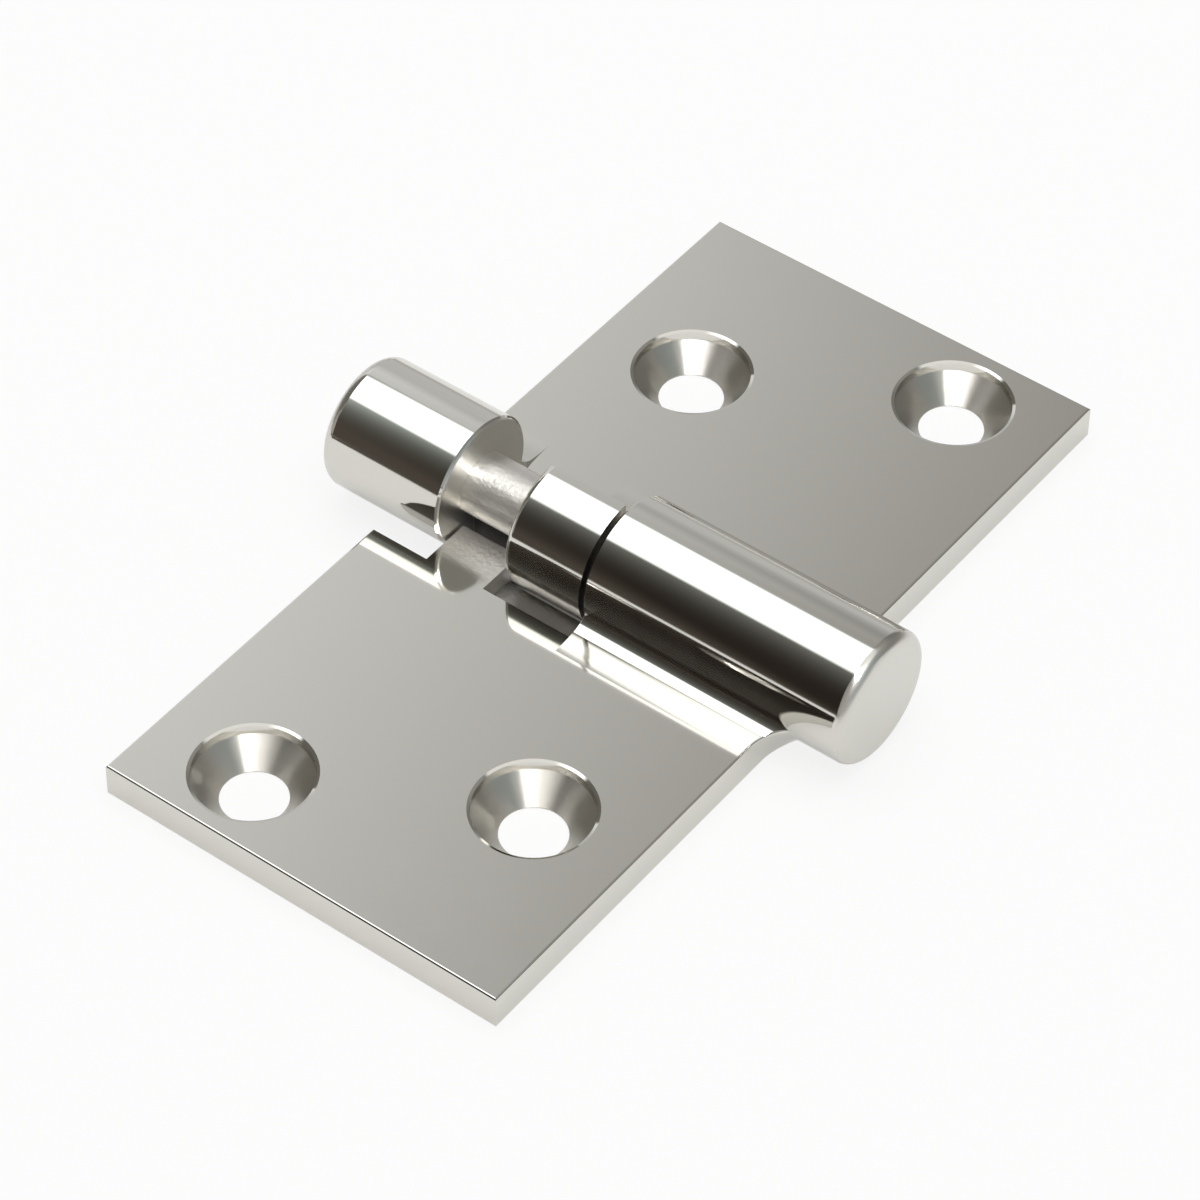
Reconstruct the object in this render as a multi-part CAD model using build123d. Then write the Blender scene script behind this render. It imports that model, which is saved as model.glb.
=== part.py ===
from build123d import *
import os
from math import cos, radians, sin, sqrt

os.makedirs("parts", exist_ok=True)

# Leaves. X runs along the hinge axis, Z = 0 is the mounting face, the barrel leaf lies on -Y.
leaf_width = 38.0
leaf_reach = 40.0         # hinge axis to outer edge
leaf_thick = 3.0
edge_round = 0.2          # polished top edges
hinge_edge = 7.4          # hinge axis to the plate's inner edge where it clears the other leaf

# Screw holes, two staggered in each leaf
hole_d = 5.5
sink_d = 9.8
sink_drop = 0.9           # straight wall above the cone
rim_wide = 0.25           # bevel round the countersink
rim_deep = 0.1
hole_land = 0.1           # straight wall below the cone
hole_in = 9.35            # leaf's side to hole
far_in = 6.45             # leaf's outer edge to the far hole
near_in = 16.7            # leaf's outer edge to the near hole

# Knuckles. They sit flush with the mounting face.
knuckle_r = 5.8
axis_z = knuckle_r
overhang = 6.8            # past each leaf's side
end_round = 1.0
lip_round = 0.5           # collar's end at the groove
edge_break = 0.25         # inner ends of the barrel and the end knuckle
dish_start = 9.1          # hinge axis to where the plate's top begins to curve up to the barrel
dish_r = 15.0
dish_turn = 9.0           # slope in degrees at which the dish meets the foot's tighter curve
foot_r = 2.4
flare_r = 3.0             # leaf side to overhanging barrel
flare_dip = 0.2           # the flare's curve runs this far into the barrel

# Places along the axis
end_knuckle_in = -13.65
collar_left = -6.95
collar_right = 0.55
barrel_in = 0.85
tongue_left = -13.45
tongue_right = -7.85

# Pin and bore
pin_r = 2.75
bore_gap = 0.05
pin_end = 21.2
bore_end = 22.0
pin_chamfer = 0.6

# Tongue, relief under the collar, the neck's web and the collar's cut-away
tongue_tip = 2.6          # hinge axis to the tongue's end
relief_edge = 7.25
relief_deep = 2.0
relief_gap = 0.35
relief_land = 3.2         # hinge axis to the end of the relief's floor
web_foot = 5.2            # hinge axis to the foot of the web behind the neck
cut_y = 0.3
cut_down = 1.2            # floor of the cut-away below the axis

side = leaf_width / 2
hole_x = side - hole_in
hole_far = leaf_reach - far_in
hole_near = leaf_reach - near_in
barrel_end = side + overhang
rise = axis_z - leaf_thick


def along_x(face, x0, x1):
    """Extrudes a face drawn in Y and Z from x0 to x1."""
    return extrude(Plane.YZ.offset(x0) * face, amount=x1 - x0)


def bar(radius, x0, x1):
    """Round bar on the hinge axis."""
    return along_x(Pos(0, axis_z) * Circle(radius), x0, x1)


def block(x0, x1, y0, y1, z0, z1):
    return Pos((x0 + x1) / 2, (y0 + y1) / 2, (z0 + z1) / 2) * Box(x1 - x0, y1 - y0, z1 - z0)


def foot_section():
    """Plate strip whose top curves up in a wide dish, then a tighter hollow that ends inside the barrel."""
    turn = radians(dish_turn)
    rim = Vector(-dish_start, leaf_thick)
    half = rim + Vector(sin(turn / 2), 1 - cos(turn / 2)) * dish_r
    bend = rim + Vector(sin(turn), 1 - cos(turn)) * dish_r
    centre = bend + Vector(-sin(turn), cos(turn)) * foot_r
    to_axis = Vector(0, axis_z) - centre
    toward = to_axis.normalized()
    along = (to_axis.length ** 2 + foot_r ** 2 - knuckle_r ** 2) / (2 * to_axis.length)
    to_barrel = toward * along + Vector(toward.Y, -toward.X) * sqrt(foot_r ** 2 - along ** 2)
    inside = to_barrel.rotate(Axis.Z, 12)
    between = ((bend - centre).normalized() + inside.normalized()).normalized()
    return make_face([
        Line((-1, axis_z), (-1, 0)),
        Line((-1, 0), (-dish_start - 1, 0)),
        Line((-dish_start - 1, 0), (-dish_start - 1, leaf_thick)),
        Line((-dish_start - 1, leaf_thick), rim),
        ThreePointArc(rim, half, bend),
        ThreePointArc(bend, centre + between * foot_r, centre + inside),
        Line(centre + inside, (-1, axis_z)),
    ])


def flare_ring():
    """Ring on the barrel whose hollow curve leads the leaf's side into the barrel."""
    low, out = knuckle_r - flare_dip, side + flare_r
    top, bend = low + flare_r, flare_r * sqrt(0.5)
    curve = make_face([
        Line((side, low - 1), (out, low - 1)),
        Line((out, low - 1), (out, low)),
        ThreePointArc((out, low), (out - bend, top - bend), (side, top)),
        Line((side, top), (side, low - 1)),
    ])
    return Pos(0, 0, axis_z) * revolve(curve, Axis.X)


def screw_hole(x, y):
    cone = leaf_thick - sink_drop - hole_land
    tool = Pos(0, 0, leaf_thick / 2) * Cylinder(hole_d / 2, 2 * leaf_thick)
    tool += Pos(0, 0, hole_land + cone / 2) * Cone(hole_d / 2, sink_d / 2, cone)
    tool += Pos(0, 0, leaf_thick) * Cylinder(sink_d / 2, 2 * sink_drop)
    tool += Pos(0, 0, leaf_thick) * Cone(sink_d / 2, sink_d / 2 + 2 * rim_wide, 2 * rim_deep)
    return Pos(x, y) * tool


def leaf_blank(barrel_start):
    """Plate on -Y with an overhanging barrel at its +X end and two screw holes."""
    plate = block(-side, side, -leaf_reach, -hinge_edge, 0, leaf_thick)
    foot = foot_section()
    flare = flare_ring() & along_x(foot, side, side + flare_r)
    blank = plate + along_x(foot, barrel_start, side) + flare
    rounds = blank.edges().filter_by(lambda e: abs(e.center().Z - leaf_thick) < 1e-4
                                     and (abs(e.center().X) > side - 1e-4
                                          or abs(e.center().Y + leaf_reach) < 1e-4))
    blank = fillet(rounds, edge_round)
    barrel = bar(knuckle_r, barrel_start, barrel_end)
    barrel = fillet(barrel.edges().group_by(Axis.X)[-1], end_round)
    barrel = chamfer(barrel.edges().group_by(Axis.X)[0], edge_break)
    blank += barrel
    for x, y in ((-hole_x, -hole_far), (hole_x, -hole_near)):
        blank -= screw_hole(x, y)
    return blank


# Barrel leaf: tongue in the groove, relief under the collar, blind bore
barrel_leaf = leaf_blank(barrel_in)
barrel_leaf += block(tongue_left, tongue_right, -hinge_edge - 1, -tongue_tip, 0, leaf_thick)
barrel_leaf += block(tongue_right, barrel_in + 1, -hinge_edge - 1, -relief_land, 0, leaf_thick)
pocket = block(tongue_right, barrel_in, -relief_edge, 0, leaf_thick - relief_deep, axis_z)
pocket = fillet(pocket.edges().filter_by(Axis.X).group_by(Axis.Z)[0].group_by(Axis.Y)[0], 0.8)
barrel_leaf -= pocket
barrel_leaf -= bar(knuckle_r + relief_gap, tongue_right, barrel_in)
barrel_leaf -= bar(pin_r + bore_gap, barrel_in, bore_end)

# Pin leaf: end knuckle, neck on its web, collar with the cut-away, pin
pin_leaf = Rot(0, 0, 180) * leaf_blank(-end_knuckle_in)
web = Polygon((-1.0, 0), (hinge_edge + 1, 0), (hinge_edge + 1, leaf_thick), (web_foot, leaf_thick),
              (0.75 * pin_r, axis_z + 0.55 * pin_r), (-1.0, axis_z), align=None)
pin_leaf += along_x(web, end_knuckle_in - 1, collar_left + 2 * lip_round)
collar = bar(knuckle_r, collar_left, collar_right)
collar = fillet(collar.edges().group_by(Axis.X)[0], lip_round)
foot = mirror(foot_section(), about=Plane.YZ)
collar += along_x(foot, collar_left + 2 * lip_round, collar_right)
collar -= block(collar_left, collar_right, cut_y, 2 * knuckle_r, axis_z - cut_down, 3 * knuckle_r)
pin_leaf += collar
pin_leaf += bar(pin_r, end_knuckle_in - 1, collar_right)
pin = bar(pin_r, collar_right, pin_end)
pin_leaf += chamfer(pin.edges().group_by(Axis.X)[-1], pin_chamfer)

for name, piece in (("barrel_leaf", barrel_leaf), ("pin_leaf", pin_leaf)):
    box = piece.bounding_box()
    print(name, len(piece.solids()), "solid", round(piece.volume, 1), box.min, box.max)
    export_step(piece, f"parts/{name}.step")
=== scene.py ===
"""Looks for the lift-off hinge: polished cast steel, a pale floor, and a studio of cards and one lamp."""

import math

import bpy
from bpy.props import FloatProperty, FloatVectorProperty, PointerProperty, StringProperty
from mathutils import Matrix, Vector


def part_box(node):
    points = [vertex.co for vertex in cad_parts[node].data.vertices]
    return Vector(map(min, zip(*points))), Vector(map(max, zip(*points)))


bl_info = {
    "name": "Lift-off hinge",
    "version": (1, 0, 0),
    "blender": (4, 5, 0),
    "location": "View3D > Sidebar > Hinge",
    "description": "Finishes a cast lift-off hinge and sets it in a small studio",
    "category": "Object",
}

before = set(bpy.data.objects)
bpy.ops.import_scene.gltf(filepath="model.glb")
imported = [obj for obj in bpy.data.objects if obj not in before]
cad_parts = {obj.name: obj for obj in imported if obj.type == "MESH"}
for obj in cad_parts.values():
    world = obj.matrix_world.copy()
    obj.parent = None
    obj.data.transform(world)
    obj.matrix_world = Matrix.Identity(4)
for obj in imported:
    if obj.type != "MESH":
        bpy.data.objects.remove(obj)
MM = 0.001
WHITE = "#FFFFFF"
BLACK = "#000000"

# Places on the solids in millimetres: X along the hinge axis, Y out from it, Z up from the mounting face.
# The two leaves are one blank, turned round by 180 degrees.
BARREL_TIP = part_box("barrel_leaf")[1][0] / MM
KNUCKLE_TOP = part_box("barrel_leaf")[1][2] / MM
PIN_LEAF_HOLES = [(9.65, 33.55), (-9.65, 23.3)]
BARREL_LEAF_HOLES = [(-x, -y) for x, y in PIN_LEAF_HOLES]
SINK_WALL = 4.95          # just outside the straight wall of a countersink
CONE_TOP = 2.11           # just above the upper end of its cone
FLUSH = 0.03              # what lies lower is the mounting face
SLACK = 0.2               # by which a slice stands off the knuckle


def slice_across(start, end, bottom, soft):
    """Box round a knuckle between two places along the axis."""
    reach = KNUCKLE_TOP / 2 + SLACK
    return (start, -reach, bottom), (end, reach, KNUCKLE_TOP + SLACK), soft


# Boxes that pick out faces of the solids: lowest corner, highest corner and the width of the soft edge.
# A shoulder is a knuckle's inner face, an end is its outer one.
# Pin leaf
NECK = ((-13.64, -3.2, 0.2), (-6.9, 5.1, 8.7), 0.005)
COLLAR_CUT_AWAY = ((-6.9, 0.5, 3.1), (0.6, 5.1, 11.7), 0.15)
# Painted shade goes here: under the neck, where the hinge's own shade falls.
UNDER_NECK = ((-13.6, -3.2, -1.0), (-6.9, -0.5, 3.4), 1.8)
KNUCKLE_SHOULDER = slice_across(-13.75, -13.62, bottom=0.2, soft=0.01)
KNUCKLE_END = slice_across(-BARREL_TIP - 0.1, -BARREL_TIP + 0.5, bottom=0.0, soft=0.6)
# Barrel leaf
TONGUE = ((-13.5, -5.0, -1.0), (-7.8, 0.0, 4.0), 2.2)
# Painted shade goes here: at the tongue's end, in the shaded gap under the neck.
TONGUE_END = ((-13.5, -3.0, -1.0), (-7.8, 0.0, 1.5), 0.8)
RELIEF = ((-7.9, -7.3, -1.0), (0.8, 0.0, 2.9), 0.1)
# Painted shade goes here: on the relief's floor, shaded under the collar.
RELIEF_FLOOR = ((-7.9, -7.3, -1.0), (0.8, 0.0, 0.35), 1.2)
BORE = ((0.7, -2.9, 2.9), (22.1, 2.9, 8.7), 0.05)
BARREL_SHOULDER = slice_across(0.8, 0.88, bottom=0.2, soft=0.01)
BARREL_END = slice_across(BARREL_TIP - 0.5, BARREL_TIP + 0.1, bottom=0.0, soft=0.6)

# Edges of the softbox in metres. It hangs level, and cards slope down from its edges to the floor.
LEFT, RIGHT, FRONT, BACK, TOP = -0.41, 0.37, -0.27, 0.332, 0.60


def linear(hex_colour):
    """Turns an sRGB hex colour into the linear RGBA that shaders take."""
    parts = [int(hex_colour.lstrip("#")[i:i + 2], 16) / 255 for i in (0, 2, 4)]
    return tuple(c / 12.92 if c <= 0.04045 else ((c + 0.055) / 1.055) ** 2.4 for c in parts) + (1.0,)


def add(tree, kind, settings=None, **inputs):
    """Adds one node. Settings are its properties, inputs are values or sockets by input name or number."""
    node = tree.nodes.new(kind)
    for key, value in (settings or {}).items():
        setattr(node, key, value)
    for key, value in inputs.items():
        socket = node.inputs[int(key[1:]) if key[0] == "i" and key[1:].isdigit() else key.replace("_", " ")]
        if isinstance(value, bpy.types.NodeSocket):
            tree.links.new(value, socket)
        else:
            socket.default_value = value
    return node


class HingeFinish(bpy.types.PropertyGroup):
    """Sizes and colours of the steel."""

    polished: StringProperty(name="Polished steel", description="Colour of the polished faces",
                             default="#DAD8D2")
    cast: StringProperty(name="As-cast steel", description="Colour of faces that no buffing wheel reaches",
                         default="#DAD7D2")
    # Painted shade: a near-black that stands in for the shade deep in the lock, under the neck, at the
    # tongue's end and on the relief floor.
    skin: StringProperty(name="Casting skin", description="Colour of the dark casting skin deep in the lock",
                         default="#504C4A")
    bored: StringProperty(name="Turned steel", description="Colour of the turned countersinks",
                          default="#C4C1BA")
    gloss: FloatProperty(name="Polished roughness", description="Roughness of the polished faces",
                         default=0.07, min=0, max=1, subtype="FACTOR")
    matte: FloatProperty(name="As-cast roughness", description="Roughness of the as-cast faces",
                         default=0.42, min=0, max=1, subtype="FACTOR")
    turned: FloatProperty(name="Turned roughness",
                          description="Roughness of the countersinks and of the knuckles' end faces",
                          default=0.3, min=0, max=1, subtype="FACTOR")
    drawn: FloatProperty(name="Turning marks",
                         description="How far the turned rings draw out a countersink's highlight",
                         default=0.9, min=0, max=1, subtype="FACTOR")
    haze: FloatProperty(name="Polishing haze", description="Width of one cloud in the polish",
                        default=0.006, unit="LENGTH")
    grain: FloatProperty(name="Casting grain", description="Width of one grain of the as-cast skin",
                         default=0.00035, unit="LENGTH")
    grain_height: FloatProperty(name="Grain height", description="Height of the grain of the as-cast skin",
                                default=0.0001, unit="LENGTH")


class HingeStage(bpy.types.PropertyGroup):
    """Camera, floor and light."""

    floor: StringProperty(name="Floor", description="Colour of the floor", default="#F4F4F2")
    lens: FloatProperty(name="Lens", description="Focal length on a 36 mm sensor", default=148.557,
                        unit="CAMERA")
    place: FloatVectorProperty(name="Camera", description="Where the camera stands", size=3,
                               default=(0.16239, -0.22327, 0.28524), subtype="XYZ", unit="LENGTH")
    aim: FloatVectorProperty(name="Aim", description="Point that the camera looks at", size=3,
                             default=(0.000273, -0.002524, 0.003), subtype="XYZ", unit="LENGTH")
    roll: FloatProperty(name="Roll", description="Tilt of the camera about its line of sight",
                        default=math.radians(1.1231), subtype="ANGLE")
    softbox: FloatProperty(name="Softbox", description="Power of the softbox overhead", default=2.2,
                           unit="POWER")
    fill: FloatProperty(name="Fill", description="Strength of the light from all round", default=0.55)
    face: FloatProperty(name="Softbox face", description="How bright the softbox's face shows in the steel",
                        default=2.2)
    spot: FloatProperty(name="Spot", description="How bright the spot at the front right shows in the steel",
                        default=20.0)


def zone_mask(tree, place, low, high, soft):
    """1 inside a box given in millimetres, falling to 0 over soft millimetres."""
    centre = [(a + b) / 2 * MM for a, b in zip(low, high)]
    half = [(b - a) / 2 * MM for a, b in zip(low, high)]
    away = add(tree, "ShaderNodeVectorMath", {"operation": "SUBTRACT"}, i0=place, i1=centre)
    apart = add(tree, "ShaderNodeVectorMath", {"operation": "ABSOLUTE"}, i0=away.outputs[0])
    past = add(tree, "ShaderNodeVectorMath", {"operation": "SUBTRACT"}, i0=apart.outputs[0], i1=half)
    axes = add(tree, "ShaderNodeSeparateXYZ", i0=past.outputs[0])
    xy = add(tree, "ShaderNodeMath", {"operation": "MAXIMUM"}, i0=axes.outputs[0], i1=axes.outputs[1])
    xyz = add(tree, "ShaderNodeMath", {"operation": "MAXIMUM"}, i0=xy.outputs[0], i1=axes.outputs[2])
    inside = add(tree, "ShaderNodeMapRange", {"interpolation_type": "SMOOTHSTEP"},
                 i0=xyz.outputs[0], i1=0.0, i2=soft * MM, i3=1.0, i4=0.0)
    return inside.outputs[0]


def any_zone(tree, place, zones):
    """1 inside any of several soft-edged boxes."""
    found = None
    for low, high, soft in zones:
        one = zone_mask(tree, place, low, high, soft)
        if found is None:
            found = one
        else:
            found = add(tree, "ShaderNodeMath", {"operation": "MAXIMUM"}, i0=found, i1=one).outputs[0]
    return found


def turned_cones(tree, place, holes):
    """Mask of the two countersink cones of a leaf, and the direction away from the nearer hole's axis."""
    left, right = [(x * MM, y * MM, 0.0) for x, y in sorted(holes)]
    axes = add(tree, "ShaderNodeSeparateXYZ", i0=place)
    flat = add(tree, "ShaderNodeCombineXYZ", i0=axes.outputs[0], i1=axes.outputs[1])
    which = add(tree, "ShaderNodeMath", {"operation": "GREATER_THAN"}, i0=axes.outputs[0], i1=0.0)
    centre = add(tree, "ShaderNodeMix", {"data_type": "VECTOR"}, i0=which.outputs[0], i4=left, i5=right)
    out = add(tree, "ShaderNodeVectorMath", {"operation": "SUBTRACT"},
              i0=flat.outputs[0], i1=centre.outputs[1])
    far = add(tree, "ShaderNodeVectorMath", {"operation": "LENGTH"}, i0=out.outputs[0])
    near = add(tree, "ShaderNodeMath", {"operation": "LESS_THAN"}, i0=far.outputs["Value"], i1=SINK_WALL * MM)
    low = add(tree, "ShaderNodeMath", {"operation": "LESS_THAN"}, i0=axes.outputs[2], i1=CONE_TOP * MM)
    mask = add(tree, "ShaderNodeMath", {"operation": "MULTIPLY"}, i0=near.outputs[0], i1=low.outputs[0])
    return mask.outputs[0], out.outputs[0]


def polished_casting(name, finish, holes, recesses, deep, faced):
    """Investment-cast stainless steel buffed to a mirror, with the mould's grey grain left in the recesses.

    The eye sees sharp reflections on the outside, a dull, faintly sandy grey where the wheel can't reach,
    nearly black painted shade deep in the lock where shade falls, softer reflections on shoulders and ends,
    and a highlight drawn out across the fine rings of the turned countersinks.
    """
    material = bpy.data.materials.new(name)
    material.use_nodes = True
    tree = material.node_tree
    tree.nodes.clear()
    place = add(tree, "ShaderNodeTexCoord").outputs["Object"]

    height = add(tree, "ShaderNodeSeparateXYZ", i0=place).outputs[2]
    raised = add(tree, "ShaderNodeMath", {"operation": "GREATER_THAN"}, i0=height, i1=FLUSH * MM).outputs[0]
    cast = add(tree, "ShaderNodeMath", {"operation": "MULTIPLY"},
               i0=any_zone(tree, place, recesses), i1=raised).outputs[0]
    cones, outward = turned_cones(tree, place, holes)
    cones = add(tree, "ShaderNodeMath", {"operation": "MULTIPLY"}, i0=cones, i1=raised).outputs[0]
    cut = add(tree, "ShaderNodeMath", {"operation": "MAXIMUM"},
              i0=cones, i1=any_zone(tree, place, faced)).outputs[0]

    clear, cloudy = 0.3, 0.7          # values of the noise between which the polish goes
    sharper, duller = 0.8, 1.25       # from this share of the roughness to that one
    haze = add(tree, "ShaderNodeTexNoise", Vector=place, Scale=1 / finish.haze, Detail=3.0, Roughness=0.6)
    shine = add(tree, "ShaderNodeMapRange", i0=haze.outputs[0], i1=clear, i2=cloudy,
                i3=finish.gloss * sharper, i4=finish.gloss * duller)
    turned = add(tree, "ShaderNodeMix", {"data_type": "FLOAT"},
                 i0=cut, i2=shine.outputs[0], i3=finish.turned)
    rough = add(tree, "ShaderNodeMix", {"data_type": "FLOAT"},
                i0=cast, i2=turned.outputs[0], i3=finish.matte)
    drawn = add(tree, "ShaderNodeMath", {"operation": "MULTIPLY"}, i0=cones, i1=finish.drawn)

    smooth = add(tree, "ShaderNodeMix", {"data_type": "RGBA"},
                 i0=cones, i6=linear(finish.polished), i7=linear(finish.bored))
    # Painted shade: in the deep boxes the as-cast colour goes over to near-black, in place of the shade that
    # falls there.
    skin = add(tree, "ShaderNodeMix", {"data_type": "RGBA"},
               i0=any_zone(tree, place, deep), i6=linear(finish.cast), i7=linear(finish.skin))
    colour = add(tree, "ShaderNodeMix", {"data_type": "RGBA"},
                 i0=cast, i6=smooth.outputs[2], i7=skin.outputs[2])

    grain = add(tree, "ShaderNodeTexNoise", Vector=place, Scale=1 / finish.grain, Detail=2.0, Roughness=0.5)
    depth = add(tree, "ShaderNodeMath", {"operation": "MULTIPLY"}, i0=grain.outputs[0], i1=cast)
    bump = add(tree, "ShaderNodeBump", Strength=0.35, Distance=finish.grain_height, Height=depth.outputs[0])
    shader = add(tree, "ShaderNodeBsdfPrincipled", Metallic=1.0, Base_Color=colour.outputs[2],
                 Roughness=rough.outputs[0], Anisotropic=drawn.outputs[0], Tangent=outward,
                 Normal=bump.outputs[0])
    add(tree, "ShaderNodeOutputMaterial", Surface=shader.outputs[0])
    return material


def dress(node, material):
    """Puts the finish on a CAD piece."""
    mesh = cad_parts[node].data
    mesh.materials.clear()
    mesh.materials.append(material)


class HINGE_OT_pin_leaf(bpy.types.Operator):
    """Finish the leaf that carries the end knuckle, the neck, the collar and the pin"""

    bl_idname = "hinge.pin_leaf"
    bl_label = "Pin leaf"

    def execute(self, context):
        # deep: the boxes that get painted shade under the neck.
        look = polished_casting("Polished cast steel, pin leaf", context.scene.hinge_finish,
                                PIN_LEAF_HOLES,
                                recesses=[NECK, COLLAR_CUT_AWAY], deep=[UNDER_NECK],
                                faced=[KNUCKLE_SHOULDER, KNUCKLE_END])
        dress("pin_leaf", look)
        return {"FINISHED"}


class HINGE_OT_barrel_leaf(bpy.types.Operator):
    """Finish the leaf that carries the barrel and the locking tongue"""

    bl_idname = "hinge.barrel_leaf"
    bl_label = "Barrel leaf"

    def execute(self, context):
        # deep: the boxes that get painted shade at the tongue's end and on the relief floor.
        look = polished_casting("Polished cast steel, barrel leaf", context.scene.hinge_finish,
                                BARREL_LEAF_HOLES,
                                recesses=[TONGUE, RELIEF, BORE], deep=[TONGUE_END, RELIEF_FLOOR],
                                faced=[BARREL_SHOULDER, BARREL_END])
        dress("barrel_leaf", look)
        return {"FINISHED"}


def across(x0, x1, y0, y1, z0, z1):
    """Corners of a sheet between x0 and x1 that runs from y0 at height z0 to y1 at height z1."""
    return [(x0, y0, z0), (x1, y0, z0), (x1, y1, z1), (x0, y1, z1)]


def aside(x0, x1, y0, y1, z0, z1):
    """Corners of a sheet between y0 and y1 that runs from x0 at height z0 to x1 at height z1."""
    return [(x0, y0, z0), (x0, y1, z0), (x1, y1, z1), (x1, y0, z1)]


def sheet_mesh(name, corners, material):
    """A flat sheet of the stage, which isn't part of the hinge."""
    mesh = bpy.data.meshes.new(name)
    mesh.from_pydata(corners, [], [tuple(range(len(corners)))])
    mesh.materials.append(material)
    made = bpy.data.objects.new(name, mesh)
    bpy.context.scene.collection.objects.link(made)
    return made


def fade(tree, axes, axis, start, end, first, last, curve=1.0):
    """A colour that runs from first to last as one coordinate runs from start to end."""
    along = add(tree, "ShaderNodeMapRange", i0=axes.outputs["XYZ".index(axis)],
                i1=start, i2=end, i3=0.0, i4=1.0)
    bent = add(tree, "ShaderNodeMath", {"operation": "POWER"}, i0=along.outputs[0], i1=curve)
    return add(tree, "ShaderNodeMix", {"data_type": "RGBA"},
               i0=bent.outputs[0], i6=linear(first), i7=linear(last)).outputs[2]


def borders(x0, x1, y0, y1, wide, colour, curve=1.0):
    """Fades of a level card from a colour at its left, right, near and far borders to white further in."""
    left, right, near, far = wide
    return [
        ("X", x0, x0 + left, colour, WHITE, curve),
        ("X", x1, x1 - right, colour, WHITE, curve),
        ("Y", y0, y0 + near, colour, WHITE, curve),
        ("Y", y1, y1 - far, colour, WHITE, curve),
    ]


def card(name, corners, fades, strength=1.0, clear=False):
    """A studio card that only shows in the steel. Its colour is the product of one or more fades.

    A clear card adds its light to what lies behind it, so a fade to black gives it a soft edge.
    """
    material = bpy.data.materials.new(name)
    material.use_nodes = True
    tree = material.node_tree
    tree.nodes.clear()
    axes = add(tree, "ShaderNodeSeparateXYZ", i0=add(tree, "ShaderNodeTexCoord").outputs["Object"])
    colour = None
    for one in fades:
        part = fade(tree, axes, *one)
        if colour is None:
            colour = part
        else:
            colour = add(tree, "ShaderNodeMix", {"data_type": "RGBA", "blend_type": "MULTIPLY"},
                         i0=1.0, i6=colour, i7=part).outputs[2]
    light = add(tree, "ShaderNodeEmission", Color=colour, Strength=strength)
    if clear:
        behind = add(tree, "ShaderNodeBsdfTransparent")
        light = add(tree, "ShaderNodeAddShader", i0=light.outputs[0], i1=behind.outputs[0])
    add(tree, "ShaderNodeOutputMaterial", Surface=light.outputs[0])
    made = sheet_mesh(name, corners, material)
    made.visible_camera = made.visible_diffuse = made.visible_shadow = False
    made.visible_transmission = made.visible_volume_scatter = False


def seen_rays(tree):
    """1 for rays from the camera and for those that polished or clear surfaces send on."""
    path = add(tree, "ShaderNodeLightPath")
    both = add(tree, "ShaderNodeMath", {"operation": "MAXIMUM"}, i0=path.outputs["Is Camera Ray"],
               i1=path.outputs["Is Glossy Ray"])
    return add(tree, "ShaderNodeMath", {"operation": "MAXIMUM"}, i0=both.outputs[0],
               i1=path.outputs["Is Transmission Ray"]).outputs[0]


def lay_floor(setup):
    """Matt white paint: the eye sees a pale ground with the hinge's soft shadow.

    A share of it is plain white where the steel mirrors it, and a larger share to the camera.
    """
    in_steel, more_in_view, reach = 0.36, 0.46, 3.0
    material = bpy.data.materials.new("Matt white floor")
    material.use_nodes = True
    tree = material.node_tree
    tree.nodes.clear()
    paint = add(tree, "ShaderNodeBsdfDiffuse", Color=linear(setup.floor))
    plain = add(tree, "ShaderNodeEmission", Color=linear(WHITE), Strength=1.0)
    seen = add(tree, "ShaderNodeMath", {"operation": "MULTIPLY"}, i0=seen_rays(tree), i1=in_steel)
    direct = add(tree, "ShaderNodeLightPath").outputs["Is Camera Ray"]
    part = add(tree, "ShaderNodeMath", {"operation": "MULTIPLY_ADD"},
               i0=direct, i1=more_in_view, i2=seen.outputs[0])
    blend = add(tree, "ShaderNodeMixShader", i0=part.outputs[0], i1=paint.outputs[0], i2=plain.outputs[0])
    add(tree, "ShaderNodeOutputMaterial", Surface=blend.outputs[0])
    sheet_mesh("floor", across(-reach, reach, -reach, reach, 0, 0), material)


def set_backdrop(scene, setup):
    """White where it is seen, and a weaker fill for the light that falls on the hinge."""
    world = bpy.data.worlds.new("Pale studio")
    scene.world = world
    world.use_nodes = True
    tree = world.node_tree
    tree.nodes.clear()
    seen = add(tree, "ShaderNodeBackground", Color=linear(WHITE), Strength=1.0)
    fill = add(tree, "ShaderNodeBackground", Color=linear(WHITE), Strength=setup.fill)
    pick = add(tree, "ShaderNodeMixShader", i0=seen_rays(tree), i1=fill.outputs[0], i2=seen.outputs[0])
    add(tree, "ShaderNodeOutputWorld", Surface=pick.outputs[0])


def hang_softbox(scene, setup):
    """The lamp itself. Its face in the steel is a card, so the lamp doesn't show there."""
    lamp = bpy.data.lights.new("softbox", "AREA")
    lamp.shape, lamp.size, lamp.size_y = "RECTANGLE", RIGHT - LEFT, BACK - FRONT
    lamp.energy = setup.softbox
    made = bpy.data.objects.new("softbox", lamp)
    made.location = ((LEFT + RIGHT) / 2, (FRONT + BACK) / 2, TOP)
    made.visible_glossy = False
    scene.collection.objects.link(made)


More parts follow.
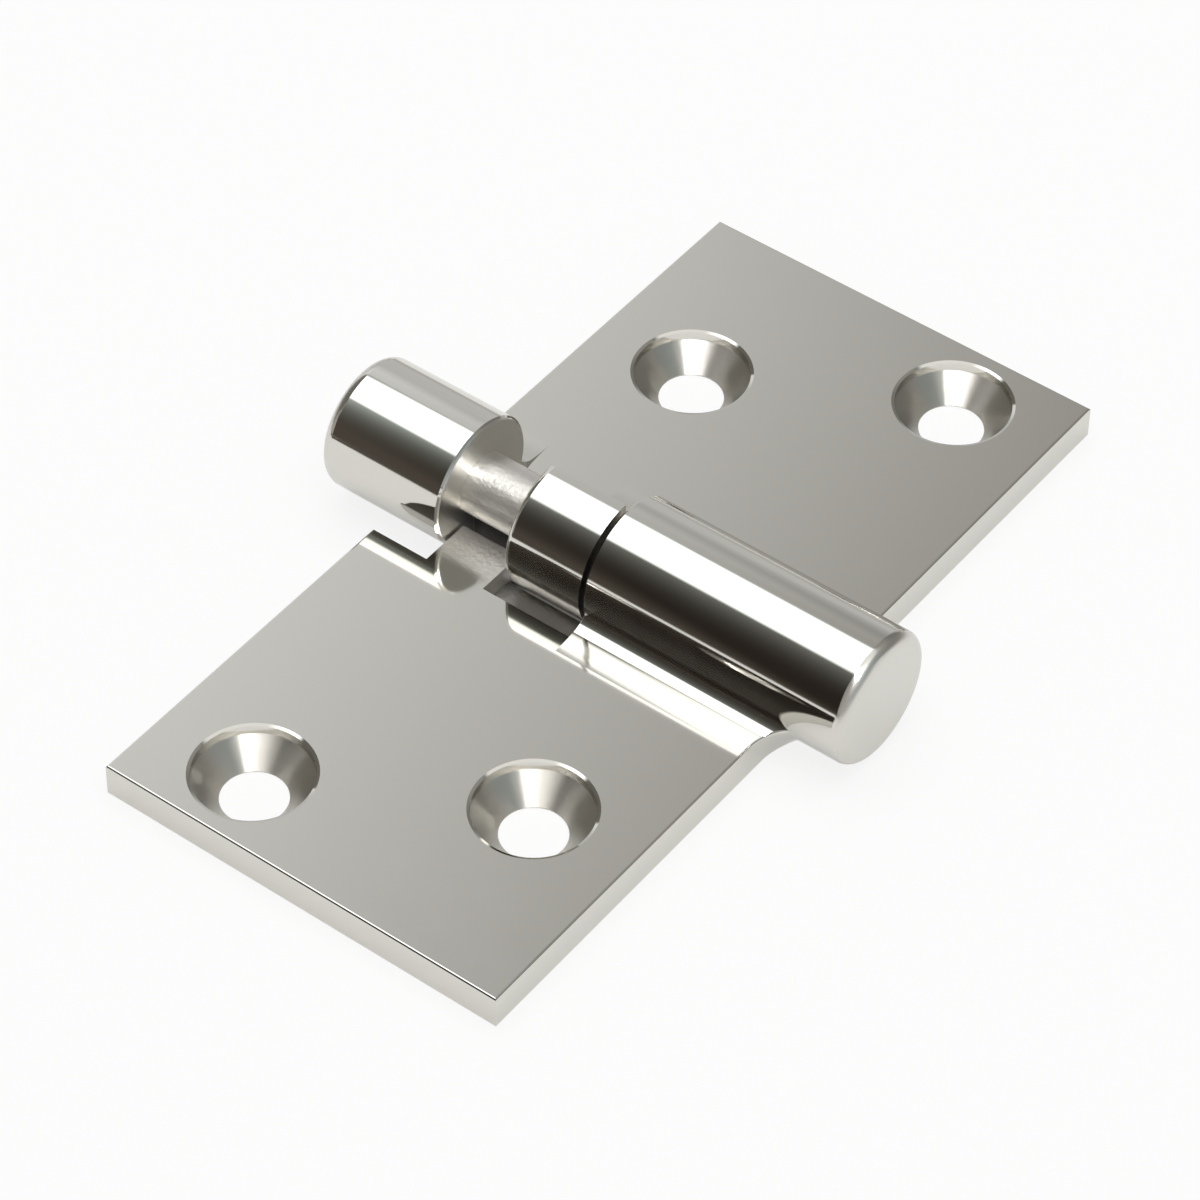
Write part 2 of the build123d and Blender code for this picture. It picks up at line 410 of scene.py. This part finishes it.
def set_cards(setup):
    """What the polished steel mirrors: the softbox's face, a spot under it, and cards all round and below."""
    rim, rim_colour = 0.06, "#5A6664"
    bright_end, dim_start = -0.22, -0.10
    card("softbox face", across(LEFT, RIGHT, FRONT, BACK, TOP, TOP),
         [("X", bright_end, dim_start, WHITE, "#B4B4B2")]
         + borders(LEFT, RIGHT, FRONT, BACK, [rim] * 4, rim_colour), setup.face)

    spot = (-0.2, 0.64, FRONT - 0.06, -0.12)
    spot_rims = (0.14, 0.14, 0.08, 0.07)
    spot_height = TOP - 0.01
    card("spot", across(*spot, spot_height, spot_height), borders(*spot, spot_rims, BLACK, curve=3.0),
         setup.spot, clear=True)

    reach = 1.6
    card("grey wall", across(-reach, reach, BACK, reach, TOP, 0.0),
         [("X", -0.44, -0.20, "#F4F4F4", "#9B9995"), ("Y", 0.50, 0.70, WHITE, "#D8D8D8")])

    front_foot, dark_left, dark_right, pale_right = -0.95, -0.52, -0.12, 1.2
    pale_front = [("Z", 0.0, TOP, "#B4B2AE", "#9C9A96")]
    card("dark front", across(dark_left, dark_right, FRONT, front_foot, TOP, 0.0),
         [("Z", 0.2, TOP, "#5C5650", "#D8E4E2", 3.0), ("X", -0.40, -0.30, "#E6E4E0", "#8C8682")])
    card("pale front, left", across(-reach, dark_left, FRONT, front_foot, TOP, 0.0), pale_front)
    card("pale front, right", across(dark_right, pale_right, FRONT, front_foot, TOP, 0.0), pale_front)

    card("dark left", aside(LEFT, -reach, -0.7, BACK, TOP, 0.0), [("Z", 0.0, 0.5, "#8E887E", "#6E6C66")])
    card("dark right", aside(RIGHT, 1.4, -0.9, BACK, TOP, 0.0), [("X", RIGHT, 1.0, "#728082", "#B0B6B6")])

    above_floor = 0.001
    card("dark floor", across(-reach, 0.5, front_foot, -0.10, above_floor, above_floor),
         [("Y", -0.2, -0.1, "#4A4640", "#8A8478")])
    card("grey floor", across(-reach, reach, 0.06, reach, above_floor, above_floor),
         [("Y", 0.06, 0.3, "#C6C4C0", "#C0BEB8")])


def place_camera(scene, setup):
    """The photo's camera, as fitted to the corners and straight edges of the leaves."""
    camera = bpy.data.cameras.new("camera")
    camera.lens, camera.sensor_width = setup.lens, 36.0
    camera.clip_start, camera.clip_end = 0.01, 20.0
    view = bpy.data.objects.new("camera", camera)
    look = Vector(setup.aim) - Vector(setup.place)
    turn = look.to_track_quat("-Z", "Y").to_matrix() @ Matrix.Rotation(setup.roll, 3, "Z")
    view.matrix_world = Matrix.Translation(Vector(setup.place)) @ turn.to_4x4()
    scene.collection.objects.link(view)
    scene.camera = view


class HINGE_OT_stage(bpy.types.Operator):
    """Set the floor, the lamp, the studio cards and the camera"""

    bl_idname = "hinge.stage"
    bl_label = "Stage"

    def execute(self, context):
        scene, setup = context.scene, context.scene.hinge_stage
        scene.view_settings.view_transform = "Standard"
        lay_floor(setup)
        set_backdrop(scene, setup)
        hang_softbox(scene, setup)
        set_cards(setup)
        place_camera(scene, setup)
        return {"FINISHED"}


class HINGE_PT_panel(bpy.types.Panel):
    """Lists the hinge's steps and their settings"""

    bl_idname = "HINGE_PT_panel"
    bl_label = "Lift-off hinge"
    bl_space_type = "VIEW_3D"
    bl_region_type = "UI"
    bl_category = "Hinge"

    def draw(self, context):
        for step in STEPS:
            self.layout.operator(step.bl_idname)
        for group in (context.scene.hinge_finish, context.scene.hinge_stage):
            for key in group.bl_rna.properties.keys():
                if key not in ("rna_type", "name"):
                    self.layout.prop(group, key)


STEPS = (HINGE_OT_pin_leaf, HINGE_OT_barrel_leaf, HINGE_OT_stage)
CLASSES = (HingeFinish, HingeStage) + STEPS + (HINGE_PT_panel,)


def register():
    for item in CLASSES:
        bpy.utils.register_class(item)
    bpy.types.Scene.hinge_finish = PointerProperty(type=HingeFinish)
    bpy.types.Scene.hinge_stage = PointerProperty(type=HingeStage)


def unregister():
    del bpy.types.Scene.hinge_stage
    del bpy.types.Scene.hinge_finish
    for item in reversed(CLASSES):
        bpy.utils.unregister_class(item)


def main():
    register()
    bpy.ops.hinge.pin_leaf()
    bpy.ops.hinge.barrel_leaf()
    bpy.ops.hinge.stage()


if __name__ == "__main__":
    main()
